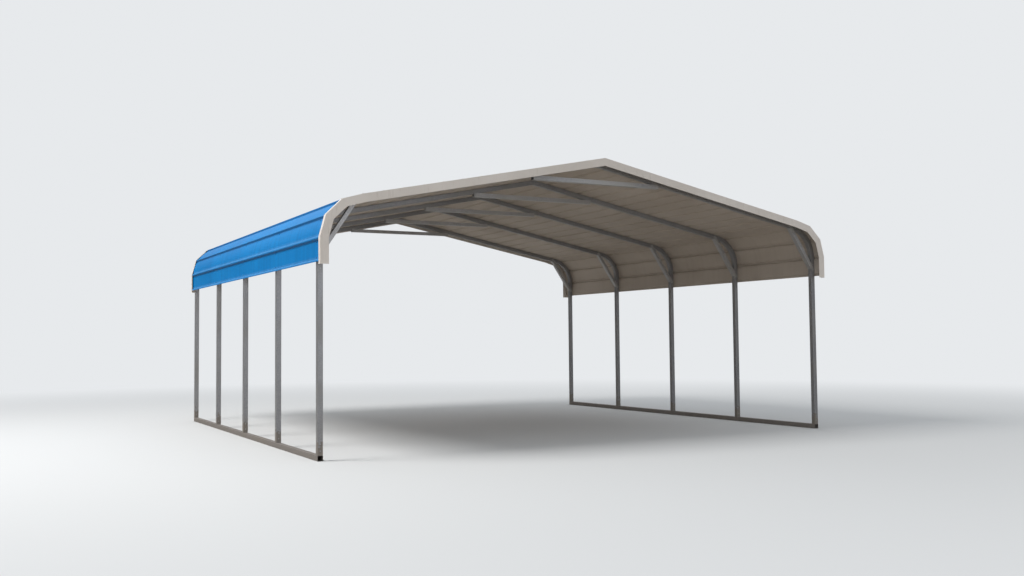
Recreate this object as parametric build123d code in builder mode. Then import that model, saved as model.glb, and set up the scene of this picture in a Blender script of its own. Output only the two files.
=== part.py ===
from build123d import *
import math
import os

os.makedirs("parts", exist_ok=True)

# Open carport of square steel tube under a ribbed sheet roof that is rolled down over both eaves.
# X runs across the width, Y along the length with the front at -Y, and Z is up from the ground.
# The origin is on the ground, in the middle of the plan. All sizes are in millimetres.

# Square frame tube
tube = 57.15
tube_wall = 2.7
tube_corner = 3.0  # flat that stands for the rounded edge

# Frame
frame_width = 6705.6  # over the outer faces of the legs
frame_length = 6096.0  # over the front and rear bows
bow_count = 5
leg_length = 1972.85
bow_tail = 192.0  # straight stretch of a bow between its leg and the eave curve
bend_radius = 395.0  # to the middle of the tube
roof_pitch = 11.3  # degrees

# Sleeves inside the tubes, which join rail to leg, leg to bow and bow to bow
sleeve_wall = 2.5
sleeve_clearance = 0.3
nipple_height = 150.0
sleeve_in_leg = 150.0
sleeve_stop = 42.0  # from the top of a bow sleeve to the eave curve
peak_sleeve_length = 160.0  # along each slope

# Channel braces, whose flanges straddle the tube
brace_wall = 1.9
brace_corner = 3.0
brace_clearance = 0.3
knee_depth = 44.0
knee_drop = 152.0  # from the eave curve down to where the web meets the bow tail
knee_past = 60.0  # from the eave curve in to where the web meets the rafter
knee_lap = 36.0  # length of the flanges beside the tubes
peak_brace_depth = 50.0
peak_brace_drop = 206.0  # from the underside of the peak to the underside of the web
peak_brace_lap = 16.0  # height of the flanges beside the rafters at their ends

# Ribbed roof sheets, whose ribs run along the length
sheet_thickness = 0.4
overhang = 152.4  # of the sheets past the front and rear bows
rib_pitch = 228.6
rib_height = 19.0
rib_base = 22.0  # half width at the pan
rib_top = 8.0  # half width at the crest
ridge_pitches = 2  # rib spaces that the ridge sheet covers on each side
side_sheets = 4  # on each side of the ridge sheet
sheet_drop = 237.0  # wanted reach of the sheets below the eave curve
seat_gap = 0.3  # between a sheet and the tubes, and between sheet and trim
lap_clearance = 0.3  # between the two ribs of a side lap
lap_leg_height = 9.0  # where the covered rib of a lap is cut off

# Edge trims at the front and rear
trim_thickness = 0.5
trim_face = 88.9
trim_flange = 60.0
trim_drop = 28.0  # below the lowest sheet edge

# Places worked out from the sizes above
slope = math.radians(roof_pitch)
half_width = frame_width / 2
leg_x = half_width - tube / 2
leg_inner = half_width - tube
joint_height = tube + leg_length
bend_start = joint_height + bow_tail
bend_x = leg_x - bend_radius
bow_spacing = (frame_length - tube) / (bow_count - 1)
bow_places = [bow_spacing * (index - (bow_count - 1) / 2) for index in range(bow_count)]
eave_corner = bend_start + bend_radius * math.tan((math.pi / 2 - slope) / 2)
peak_height = eave_corner + leg_x * math.tan(slope)
underside_peak = peak_height - tube / 2 / math.cos(slope)
sides = (("left", -1), ("right", 1))

# The pan of the sheets, measured along the girth from the ridge down to the eave
pan_radius = bend_radius + tube / 2 + seat_gap
slope_girth = (bend_x + pan_radius * math.sin(slope)) / math.cos(slope)
bend_girth = pan_radius * (math.pi / 2 - slope)
side_girth = slope_girth + bend_girth
pan_ridge = bend_start + pan_radius * math.cos(slope) + slope_girth * math.sin(slope)
side_pitches = round((side_girth + sheet_drop) / rib_pitch)
sheet_girth = side_pitches * rib_pitch + rib_top
rib_flank = math.atan2(rib_height, rib_base - rib_top)
roof_length = frame_length + 2 * overhang
level_tolerance = 0.001


def roof_point(side, girth, height):
    """A point at a girth from the ridge and a height above the pan, as X and Z."""
    if girth <= slope_girth:
        x = girth * math.cos(slope) + height * math.sin(slope)
        z = pan_ridge - girth * math.sin(slope) + height * math.cos(slope)
    elif girth <= side_girth:
        turn = slope + (girth - slope_girth) / pan_radius
        x = bend_x + (pan_radius + height) * math.sin(turn)
        z = bend_start + (pan_radius + height) * math.cos(turn)
    else:
        x = half_width + seat_gap + height
        z = bend_start - (girth - side_girth)
    return side * x, z


def offset_line(line, distance):
    """A line of straight runs moved to the left of its direction, with mitred corners."""
    points = [Vector(*point) for point in line]
    runs = [(end - start).normalized() for start, end in zip(points, points[1:])]
    moved = []
    for point, before, after in zip(points, runs[:1] + runs, runs + runs[-1:]):
        both = before + after
        reach = distance / (1 + before.dot(after))
        moved.append((point.X - both.Y * reach, point.Y + both.X * reach))
    return moved


def rib(centre, base=rib_base, top=rib_top, height=rib_height):
    """The corners of a rib, as girth and height."""
    return [(centre - base, 0), (centre - top, height), (centre + top, height), (centre + base, 0)]


def rib_field(first, last):
    """The corners of all ribs that stand between two lap ribs."""
    line = []
    for number in range(first + 1, last):
        line += rib(number * rib_pitch)
    return line


def covered_rib(centre):
    """The upper edge of a sheet, a smaller rib that nests under the sheet above."""
    inset = sheet_thickness + lap_clearance
    base = rib_base - inset / math.sin(rib_flank)
    top = rib_top - inset * math.tan(rib_flank / 2)
    cut = base - lap_leg_height / math.tan(rib_flank)
    return [(centre - cut, lap_leg_height)] + rib(centre, base, top, rib_height - inset)[1:]


def covering_rib(centre):
    """The lower edge of a sheet, a full rib that laps over the sheet below."""
    edge_height = sheet_thickness + lap_clearance
    edge = rib_base - edge_height / math.tan(rib_flank)
    return rib(centre)[:3] + [(centre + edge, edge_height)]


def is_level(start, end):
    """Whether a run of a girth line keeps its height above the pan."""
    return math.isclose(start[1], end[1], abs_tol=level_tolerance)


def with_bend_ends(line):
    """A girth line with the ends of the eave curve added where they fall on a level run."""
    result = line[:1]
    for start, end in zip(line, line[1:]):
        for place in (slope_girth, side_girth):
            if is_level(start, end) and start[0] < place < end[0]:
                result.append((place, start[1]))
        result.append(end)
    return result


def draw_girth_line(side, line):
    """Draw a girth line, with its level runs rolled round the eave curve."""
    for start, end in zip(line, line[1:]):
        first = roof_point(side, *start)
        last = roof_point(side, *end)
        in_curve = slope_girth <= start[0] + level_tolerance and end[0] - level_tolerance <= side_girth
        if is_level(start, end) and in_curve:
            middle = roof_point(side, (start[0] + end[0]) / 2, start[1])
            ThreePointArc(first, middle, last)
        else:
            Line(first, last)


def draw_sheet_outline(side, line):
    """Draw the closed section of a sheet from the line of its inner face."""
    inner = with_bend_ends(line)
    outer = offset_line(inner, sheet_thickness)
    draw_girth_line(side, inner)
    draw_girth_line(side, outer)
    Line(roof_point(side, *inner[0]), roof_point(side, *outer[0]))
    Line(roof_point(side, *inner[-1]), roof_point(side, *outer[-1]))


def upright_plane(y):
    """A plane across the carport at a place along it, with X to the right and Z up."""
    return Plane(origin=(0, y, 0), x_dir=(1, 0, 0), z_dir=(0, -1, 0))


def write(builder, label):
    """Label a finished piece and write it to its own file."""
    builder.part.label = label
    export_step(builder.part, f"parts/{label}.step")


# Sections of the frame tube, the sleeves and the two brace channels
with BuildSketch() as tube_section:
    Rectangle(tube, tube)
    chamfer(tube_section.vertices(), tube_corner)
    Rectangle(tube - 2 * tube_wall, tube - 2 * tube_wall, mode=Mode.SUBTRACT)

sleeve = tube - 2 * tube_wall - 2 * sleeve_clearance
with BuildSketch() as sleeve_section:
    Rectangle(sleeve, sleeve)
    Rectangle(sleeve - 2 * sleeve_wall, sleeve - 2 * sleeve_wall, mode=Mode.SUBTRACT)

channel_inside = tube + 2 * brace_clearance
channel_outside = channel_inside + 2 * brace_wall
channel_sections = {}
for brace_name, depth in (("knee", knee_depth), ("peak", peak_brace_depth)):
    with BuildSketch() as channel_section:
        Rectangle(channel_outside, depth, align=(Align.CENTER, Align.MAX))
        fillet(channel_section.vertices().group_by(Axis.Y)[-1], brace_corner)
        with Locations((0, -brace_wall)):
            Rectangle(channel_inside, depth, align=(Align.CENTER, Align.MAX), mode=Mode.SUBTRACT)
    channel_sections[brace_name] = channel_section.sketch

# Base rails, which lie on the ground
for side_name, side in sides:
    rail_end = Plane(
        origin=(side * leg_x, frame_length / 2, tube / 2),
        x_dir=(1, 0, 0),
        z_dir=(0, -1, 0),
    )
    with BuildPart() as base_rail:
        with BuildSketch(rail_end):
            add(tube_section.sketch)
        extrude(amount=frame_length)
    write(base_rail, f"base_rail_{side_name}")

# Nipples on the rails, which the legs slip over
for side_name, side in sides:
    with BuildPart() as leg_nipples:
        for bow_y in bow_places:
            with BuildSketch(Plane(origin=(side * leg_x, bow_y, tube))):
                add(sleeve_section.sketch)
        extrude(amount=nipple_height)
    write(leg_nipples, f"leg_nipples_{side_name}")

# Legs
for side_name, side in sides:
    for number, bow_y in enumerate(bow_places, start=1):
        with BuildPart() as leg:
            with BuildSketch(Plane(origin=(side * leg_x, bow_y, tube))):
                add(tube_section.sketch)
            extrude(amount=leg_length)
        write(leg, f"leg_{side_name}_{number}")

# Sleeves in the joints between the legs and the bows
for side_name, side in sides:
    with BuildPart() as bow_sleeves:
        for bow_y in bow_places:
            with BuildSketch(Plane(origin=(side * leg_x, bow_y, joint_height - sleeve_in_leg))):
                add(sleeve_section.sketch)
        extrude(amount=sleeve_in_leg + bow_tail - sleeve_stop)
    write(bow_sleeves, f"bow_sleeves_{side_name}")

# Half bows, each one tube bent at the eave and mitred at the peak
for side_name, side in sides:
    for number, bow_y in enumerate(bow_places, start=1):
        with BuildPart() as half_bow:
            with BuildLine(upright_plane(bow_y)):
                FilletPolyline(
                    (side * leg_x, joint_height),
                    (side * leg_x, eave_corner),
                    (-side * tube, peak_height + tube * math.tan(slope)),
                    radius=bend_radius,
                )
            with BuildSketch(Plane(origin=(side * leg_x, bow_y, joint_height))):
                add(tube_section.sketch)
            sweep()
            split(bisect_by=Plane.YZ, keep=Keep.TOP if side > 0 else Keep.BOTTOM)
        write(half_bow, f"half_bow_{side_name}_{number}")

# Bent sleeves inside the mitred joints at the peak
with BuildPart() as peak_sleeves:
    for bow_y in bow_places:
        rafter_axis = Plane(
            origin=(0, bow_y, peak_height),
            x_dir=(0, 1, 0),
            z_dir=(math.cos(slope), 0, -math.sin(slope)),
        )
        with BuildSketch(rafter_axis.offset(-tube)):
            add(sleeve_section.sketch)
    extrude(amount=peak_sleeve_length + tube)
    split(bisect_by=Plane.YZ, keep=Keep.TOP)
    mirror(about=Plane.YZ)
write(peak_sleeves, "peak_sleeves")

# Knee braces, whose webs end on the tubes while their flanges lap beside them
knee_foot = bend_start - knee_drop
head_inset = bend_x + (bend_radius - tube / 2) * math.sin(slope) - knee_past
head_height = underside_peak - head_inset * math.tan(slope)
knee_run = leg_inner - head_inset
knee_rise = head_height - knee_foot
leg_face = leg_inner - brace_clearance
leg_back = half_width - brace_clearance
soffit_peak = underside_peak - brace_clearance / math.cos(slope)
crown_peak = underside_peak + (tube - brace_clearance) / math.cos(slope)
cut_reach = 2 * knee_depth


def draw_foot_cut(side, face):
    """Draw what is cut off at the foot of a knee brace, past an upright face."""
    low = knee_foot - cut_reach
    high = knee_foot + cut_reach
    corners = [(face, low), (face + cut_reach, low), (face + cut_reach, high), (face, high)]
    Polyline(*((side * x, z) for x, z in corners), close=True)


def draw_head_cut(side, ridge_height):
    """Draw what is cut off at the head of a knee brace, above a line along the roof's slope."""
    near = head_inset + cut_reach
    far = head_inset - cut_reach
    corners = [(near, 0), (near, cut_reach), (far, cut_reach), (far, 0)]
    Polyline(*((side * x, ridge_height - x * math.tan(slope) + rise) for x, rise in corners), close=True)


for side_name, side in sides:
    with BuildPart() as knee_braces:
        for bow_y in bow_places:
            knee_axis = Plane(
                origin=(side * leg_inner, bow_y, knee_foot),
                x_dir=(0, side, 0),
                z_dir=(-side * knee_run, 0, knee_rise),
            )
            with BuildSketch(knee_axis.offset(-knee_lap)):
                add(channel_sections["knee"])
        extrude(amount=math.hypot(knee_run, knee_rise) + 2 * knee_lap)
        # The webs stop at the inner faces of the tubes
        for bow_y in bow_places:
            with BuildSketch(upright_plane(bow_y + channel_inside / 2)):
                with BuildLine():
                    draw_foot_cut(side, leg_face)
                make_face()
                with BuildLine():
                    draw_head_cut(side, soffit_peak)
                make_face()
        extrude(amount=channel_inside, mode=Mode.SUBTRACT)
        # The flanges stay inside the outer faces of the tubes
        with BuildSketch(upright_plane(frame_length)):
            with BuildLine():
                draw_foot_cut(side, leg_back)
            make_face()
            with BuildLine():
                draw_head_cut(side, crown_peak)
            make_face()
        extrude(amount=2 * frame_length, mode=Mode.SUBTRACT)
    write(knee_braces, f"knee_braces_{side_name}")

# Level braces under the peak, which run out until their flanges lap beside the rafters
peak_brace_half = (peak_brace_drop - peak_brace_depth + peak_brace_lap) / math.tan(slope)
with BuildPart() as peak_braces:
    for bow_y in bow_places:
        brace_end = Plane(
            origin=(-peak_brace_half, bow_y, underside_peak - peak_brace_drop),
            x_dir=(0, -1, 0),
            z_dir=(1, 0, 0),
        )
        with BuildSketch(brace_end):
            add(channel_sections["peak"])
    extrude(amount=2 * peak_brace_half)
write(peak_braces, "peak_braces")

# Roof sheets of each side, numbered from the eave up, each lapping over the one below it
sheet_share = (side_pitches - ridge_pitches) / side_sheets
lap_ribs = [ridge_pitches + math.ceil(index * sheet_share) for index in range(side_sheets + 1)]
sheet_spans = list(zip(lap_ribs, lap_ribs[1:]))[::-1]
for side_name, side in sides:
    for number, (upper, lower) in enumerate(sheet_spans, start=1):
        sheet_line = covered_rib(upper * rib_pitch) + rib_field(upper, lower)
        if lower == side_pitches:
            sheet_line += rib(lower * rib_pitch)[:3]
        else:
            sheet_line += covering_rib(lower * rib_pitch)
        with BuildPart() as roof_sheet:
            with BuildSketch(upright_plane(roof_length / 2)):
                with BuildLine():
                    draw_sheet_outline(side, sheet_line)
                make_face()
            extrude(amount=roof_length)
        write(roof_sheet, f"roof_sheet_{side_name}_{number}")

# Ridge sheet, creased along its middle rib and lapping over the sheets on both sides
with BuildPart() as ridge_sheet:
    with BuildSketch(upright_plane(roof_length / 2)):
        with BuildLine():
            crest = [(-rib_height, rib_height)] + rib(0)[2:]
            ridge_line = crest + rib_field(0, ridge_pitches) + covering_rib(ridge_pitches * rib_pitch)
            draw_sheet_outline(1, ridge_line)
        make_face()
    extrude(amount=roof_length)
    split(bisect_by=Plane.YZ, keep=Keep.TOP)
    mirror(about=Plane.YZ)
write(ridge_sheet, "ridge_sheet")

# Edge trims, whose flange lies over the crests of the ribs and is notched and bent at each crest
# on the eave curve, while the face hangs down over the ends of the sheets
crest_height = rib_height + sheet_thickness + seat_gap
crest_half = rib_top + sheet_thickness * math.tan(rib_flank / 2)
notch_rise = crest_half * math.tan(rib_pitch / pan_radius / 2)
curve_ribs = [
    number * rib_pitch
    for number in range(1, side_pitches)
    if slope_girth < number * rib_pitch < side_girth
]
trim_bottom = sheet_girth + trim_drop
bends = [(curve_ribs[0] - rib_pitch + crest_half, crest_height)]
bends += [(girth, crest_height + notch_rise) for girth in curve_ribs]
bends += [(curve_ribs[-1] + rib_pitch - crest_half, crest_height)]
trim_girths = [(-trim_face, crest_height)] + bends + [(trim_bottom, crest_height)]
for end_name, end in (("front", -1), ("rear", 1)):
    for side_name, side in sides:
        under_flange = [roof_point(1, *place) for place in trim_girths]
        over_flange = offset_line(under_flange, trim_thickness)
        face_edge = offset_line(over_flange, -trim_face)
        with BuildPart() as trim:
            with BuildSketch(upright_plane(end * (roof_length / 2 + seat_gap))):
                with BuildLine():
                    Polyline(*over_flange, *face_edge[::-1], close=True)
                make_face()
            extrude(amount=-end * trim_thickness)
            with BuildSketch(upright_plane(end * (roof_length / 2 + seat_gap + trim_thickness))):
                with BuildLine():
                    Polyline(*over_flange, *under_flange[::-1], close=True)
                make_face()
            extrude(amount=end * trim_flange)
            split(bisect_by=Plane.YZ, keep=Keep.TOP)
            if side < 0:
                mirror(about=Plane.YZ, mode=Mode.REPLACE)
        write(trim, f"trim_{end_name}_{side_name}")
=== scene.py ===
"""Looks of an open carport: square galvanized tube under a ribbed sheet roof.

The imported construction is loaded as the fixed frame. Each class below models one
sub-assembly around it, with the rounded tube edges, folded sheets, notched trims,
screws and finishes that the construction leaves plain. Lengths are in metres, X runs
across the width, Y along the length with the front at -Y, and Z is up.
"""

import logging
import math
from contextlib import contextmanager
from dataclasses import dataclass, field
from enum import Enum
from typing import Callable, Iterator, Sequence

import bmesh
import bpy
from mathutils import Matrix, Vector


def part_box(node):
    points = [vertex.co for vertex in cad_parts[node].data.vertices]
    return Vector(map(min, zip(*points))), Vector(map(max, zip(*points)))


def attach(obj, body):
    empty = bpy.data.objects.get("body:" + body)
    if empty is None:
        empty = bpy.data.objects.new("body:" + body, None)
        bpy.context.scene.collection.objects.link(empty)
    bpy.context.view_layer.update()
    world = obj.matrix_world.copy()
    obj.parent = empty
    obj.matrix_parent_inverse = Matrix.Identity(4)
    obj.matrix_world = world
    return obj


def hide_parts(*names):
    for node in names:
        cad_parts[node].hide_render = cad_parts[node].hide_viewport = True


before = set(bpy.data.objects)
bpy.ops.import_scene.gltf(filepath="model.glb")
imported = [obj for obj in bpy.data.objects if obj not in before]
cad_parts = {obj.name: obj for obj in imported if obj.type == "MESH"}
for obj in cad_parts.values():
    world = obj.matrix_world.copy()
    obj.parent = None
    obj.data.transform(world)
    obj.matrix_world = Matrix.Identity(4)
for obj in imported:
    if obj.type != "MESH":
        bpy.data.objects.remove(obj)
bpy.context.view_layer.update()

log = logging.getLogger("carport")
BODY = "root"

Triple = tuple[float, float, float]
Colour = Triple
Pair = tuple[float, float]
Place = Pair
Seat = tuple[Vector, Vector]
Piece = bpy.types.Object
Material = bpy.types.Material
Socket = bpy.types.NodeSocket
Number = float | Socket
Shade = Colour | Socket

# Places closer than this count as one
NEAR = 0.00001


class Side(Enum):
    """The two long sides of the carport, with the sign of their X."""

    LEFT = -1
    RIGHT = 1


class End(Enum):
    """The two open ends of the carport, with the sign of their Y."""

    FRONT = -1
    REAR = 1


class Slot(Enum):
    """The material slots of the record."""

    FRAME = "galvanized_frame"
    ROOF = "roof_paint"
    TRIM = "trim_paint"


# Modelling by hand


class Element(Enum):
    """What is selected in edit mode."""

    VERTEX = "VERT"
    EDGE = "EDGE"
    FACE = "FACE"


@contextmanager
def editing(piece: Piece, element: Element = Element.VERTEX) -> Iterator[None]:
    """Keep one piece in edit mode, with nothing selected at first.

    Args:
        piece: The mesh object to edit.
        element: Whether vertices, edges or faces are selected.

    Returns:
        A context in which the edit operators act on the piece.
    """
    choose(piece)
    bpy.ops.object.mode_set(mode="EDIT")
    bpy.ops.mesh.select_mode(type=element.value)
    bpy.ops.mesh.select_all(action="DESELECT")
    yield
    bpy.ops.object.mode_set(mode="OBJECT")


def choose(*pieces: Piece) -> None:
    """Select only these objects and make the first one active.

    Args:
        pieces: The objects that the next operator acts on.
    """
    bpy.ops.object.select_all(action="DESELECT")
    for piece in pieces:
        piece.select_set(True)
    bpy.context.view_layer.objects.active = pieces[0]


def pick(piece: Piece, wanted: Callable[..., bool], element: Element = Element.VERTEX) -> None:
    """Select parts of a piece in edit mode by their place.

    Args:
        piece: The mesh object in edit mode.
        wanted: Tells from a vertex's place, an edge's two ends or a face's middle
            whether it is selected.
        element: What is selected, as it was given to editing.
    """
    bpy.ops.mesh.select_all(action="DESELECT")
    mesh = bmesh.from_edit_mesh(piece.data)
    if element is Element.VERTEX:
        parts = [(vertex, [vertex.co]) for vertex in mesh.verts]
    elif element is Element.EDGE:
        parts = [(edge, [end.co for end in edge.verts]) for edge in mesh.edges]
    else:
        parts = [(face, [face.calc_center_median()]) for face in mesh.faces]
    for part, places in parts:
        if wanted(*places):
            part.select_set(True)
    mesh.select_flush_mode()
    bmesh.update_edit_mesh(piece.data)


def pick_all() -> None:
    """Select everything in edit mode."""
    bpy.ops.mesh.select_all(action="SELECT")


def copy_to(piece: Piece, name: str, shift: Sequence[float]) -> Piece:
    """Copy a piece, with a mesh of its own.

    Args:
        piece: The object to copy.
        name: The copy's name.
        shift: How far the copy is moved from the piece.

    Returns:
        The copy, with its place in its mesh.
    """
    copy = bpy.data.objects.new(name, piece.data.copy())
    copy.data.name = name
    copy.location = shift
    bpy.context.scene.collection.objects.link(copy)
    settle(copy)
    return copy


def join(name: str, pieces: Sequence[Piece]) -> Piece:
    """Join objects into one piece.

    Args:
        name: The piece's name.
        pieces: The objects to join.

    Returns:
        The joined piece.
    """
    choose(*pieces)
    bpy.ops.object.join()
    pieces[0].name = name
    pieces[0].data.name = name
    return pieces[0]


def settle(piece: Piece) -> None:
    """Put a piece's place, turn and scale into its mesh, so that it sits at the origin."""
    choose(piece)
    bpy.ops.object.transform_apply(location=True, rotation=True, scale=True)


def add_plane(
    name: str,
    size: float,
    place: Sequence[float],
    turn: Sequence[float] = (0.0, 0.0, 0.0),
) -> Piece:
    """Add a square plane to shape in edit mode.

    Args:
        name: The piece's name.
        size: Length of its sides.
        place: Its middle.
        turn: Its turn about X, Y and Z.

    Returns:
        The new object, with its place in its mesh.
    """
    bpy.ops.object.select_all(action="DESELECT")
    bpy.ops.mesh.primitive_plane_add(size=size, location=place, rotation=turn)
    piece = bpy.context.active_object
    piece.name = name
    piece.data.name = name
    settle(piece)
    return piece


def extrude(step: Sequence[float]) -> None:
    """Extrude what is selected in edit mode, and move the new part by a step."""
    bpy.ops.mesh.extrude_region_move(TRANSFORM_OT_translate={"value": tuple(step)})


def start_edge(name: str, place: Place, length: float) -> Piece:
    """Start a folded sheet as one long edge along Y, which is what is left of a plane.

    Args:
        name: The piece's name.
        place: X and Z of the edge.
        length: Its length, half to each side of the middle.

    Returns:
        The object with that one edge.
    """
    piece = add_plane(name, length, (place[0] + length / 2, 0, place[1]))
    with editing(piece):
        pick(piece, lambda at: at.x > place[0] + length / 2)
        bpy.ops.mesh.delete(type="VERT")
    return piece


def fold_along(piece: Piece, places: Sequence[Place]) -> None:
    """Extrude a piece's one edge along a line of folds.

    Args:
        piece: An object made by start_edge.
        places: X and Z of the line's points, starting at the edge.
    """
    with editing(piece):
        pick_all()
        for before, after in zip(places, places[1:]):
            extrude((after[0] - before[0], 0, after[1] - before[1]))


def face_away_from(piece: Piece, inside: Vector) -> None:
    """Turn a sheet's faces so that they point away from a place.

    Args:
        piece: A mesh whose faces all point to the same side.
        inside: A place behind the sheet.
    """
    outward = sum(face.area * face.normal.dot(face.center - inside) for face in piece.data.polygons)
    if outward < 0:
        with editing(piece):
            pick_all()
            bpy.ops.mesh.flip_normals()


def modify(piece: Piece, kind: str, **settings: object) -> None:
    """Add a modifier to a piece and apply it.

    Args:
        piece: The mesh object.
        kind: The modifier's type.
        settings: The values of its settings by name.
    """
    choose(piece)
    modifier = piece.modifiers.new(kind.title(), kind)
    for name, value in settings.items():
        setattr(modifier, name, value)
    bpy.ops.object.modifier_apply(modifier=modifier.name)


def round_folds(piece: Piece, radius: float, sharpest: float = 60.0) -> None:
    """Round the folds and edges of a piece that turn by more than an angle in degrees."""
    limit = math.radians(sharpest)
    modify(piece, "BEVEL", width=radius, segments=2, limit_method="ANGLE", angle_limit=limit)


def give_wall(piece: Piece, wall: float) -> None:
    """Give a shell its thickness, on the side that its faces point away from."""
    modify(piece, "SOLIDIFY", thickness=wall, offset=-1.0, use_even_offset=True)


def smooth(piece: Piece, up_to: float = 35.0) -> None:
    """Shade a piece smoothly over its rounded edges, with flat faces left flat.

    Args:
        piece: The mesh object.
        up_to: The angle, in degrees, above which an edge stays sharp.
    """
    choose(piece)
    bpy.ops.object.shade_smooth_by_angle(angle=math.radians(up_to))
    modify(piece, "WEIGHTED_NORMAL", keep_sharp=True)


def dress(
    piece: Piece,
    finishes: Sequence[Material],
    stands_for: Sequence[str] = (),
) -> None:
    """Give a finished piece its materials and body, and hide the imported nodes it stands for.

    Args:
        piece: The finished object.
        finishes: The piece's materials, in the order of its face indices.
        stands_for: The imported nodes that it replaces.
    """
    if not piece.data.materials:
        for finish in finishes:
            piece.data.materials.append(finish)
    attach(piece, BODY)
    if stands_for:
        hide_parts(*stands_for)
    log.info("%s: %d faces", piece.name, len(piece.data.polygons))


# Finishes, whose edges are the noise values at which patches and streaks set in and are full


class Nodes:
    """The shader nodes of one material or of the world, linked as they are added."""

    def __init__(self, holder: Material | bpy.types.World) -> None:
        """Start with no nodes.

        Args:
            holder: The material or world that gets them.
        """
        self.holder = holder
        holder.use_nodes = True
        self.tree = holder.node_tree
        self.tree.nodes.clear()

    def add(self, kind: str, inputs: dict[str | int, object], **settings: object) -> bpy.types.Node:
        """Add a node.

        Args:
            kind: The node's type, without its ShaderNode prefix.
            inputs: Values or sockets to link, by input name or number.
            settings: The node's own settings.

        Returns:
            The new node.
        """
        node = self.tree.nodes.new("ShaderNode" + kind)
        for name, value in settings.items():
            setattr(node, name, value)
        for key, value in inputs.items():
            if isinstance(value, Socket):
                self.tree.links.new(value, node.inputs[key])
            else:
                node.inputs[key].default_value = value
        return node

    def place(self) -> Socket:
        """The place on the object, which is the place in the shared frame."""
        return self.add("TexCoord", {}).outputs["Object"]

    def girth_map(self) -> Socket:
        """The sheet's own map, with the length as X and the girth as Y."""
        return self.add("TexCoord", {}).outputs["UV"]

    def stretch(self, vector: Socket, scale: Triple) -> Socket:
        """Scale a vector by its parts."""
        return self.add("Mapping", {"Vector": vector, "Scale": scale}).outputs["Vector"]

    def noise(self, vector: Socket, size: float, detail: float = 3.0) -> Socket:
        """Soft noise from 0 to 1, with patches of a size and some finer layers."""
        values = {"Vector": vector, "Scale": 1 / size, "Detail": detail}
        return self.add("TexNoise", values, noise_dimensions="3D").outputs["Fac"]

    def cells(self, vector: Socket, size: float) -> Socket:
        """One random value for each crystal-like cell."""
        cell = self.add("TexVoronoi", {"Vector": vector, "Scale": 1 / size})
        return self.add("SeparateColor", {"Color": cell.outputs["Color"]}).outputs["Red"]

    def part(self, vector: Socket, axis: str) -> Socket:
        """One part of a vector, X, Y or Z."""
        return self.add("SeparateXYZ", {"Vector": vector}).outputs[axis]

    def ramp(self, value: Socket, bounds: Pair, results: Pair) -> Socket:
        """Map a value smoothly from two bounds to two results, and hold it outside them."""
        values = {0: value, 1: bounds[0], 2: bounds[1], 3: results[0], 4: results[1]}
        return self.add("MapRange", values, interpolation_type="SMOOTHSTEP").outputs[0]

    def sum(self, operation: str, first: Number, second: Number = 0.0) -> Socket:
        """Work out one number from two, by the operation's name."""
        return self.add("Math", {0: first, 1: second}, operation=operation).outputs[0]

    def mix(self, share: Number, first: Shade, second: Shade) -> Socket:
        """Mix two colours by the share of the second one."""
        values = {0: share, 6: opaque(first), 7: opaque(second)}
        return self.add("Mix", values, data_type="RGBA").outputs[2]

    def bump(self, height: Socket, depth: float, over: Socket | None = None) -> Socket:
        """Tilt the surface by a height from 0 to 1.

        Args:
            height: The height's value.
            depth: The relief from lowest to highest.
            over: The normal of another bump that this one is added to.

        Returns:
            The tilted normal.
        """
        values = {"Height": height, "Distance": depth, "Strength": 1.0}
        if over is not None:
            values["Normal"] = over
        return self.add("Bump", values).outputs["Normal"]

    def surface(self, inputs: dict[str, object]) -> Material:
        """End the material with its shader.

        Args:
            inputs: The shader's values or links by input name.

        Returns:
            The finished material.
        """
        shader = self.add("BsdfPrincipled", inputs)
        self.add("OutputMaterial", {"Surface": shader.outputs[0]})
        return self.holder


def opaque(colour: Shade) -> Socket | tuple[float, ...]:
    """A colour with its alpha, or a socket as it is."""
    return colour if isinstance(colour, Socket) else (*colour, 1.0)


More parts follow.
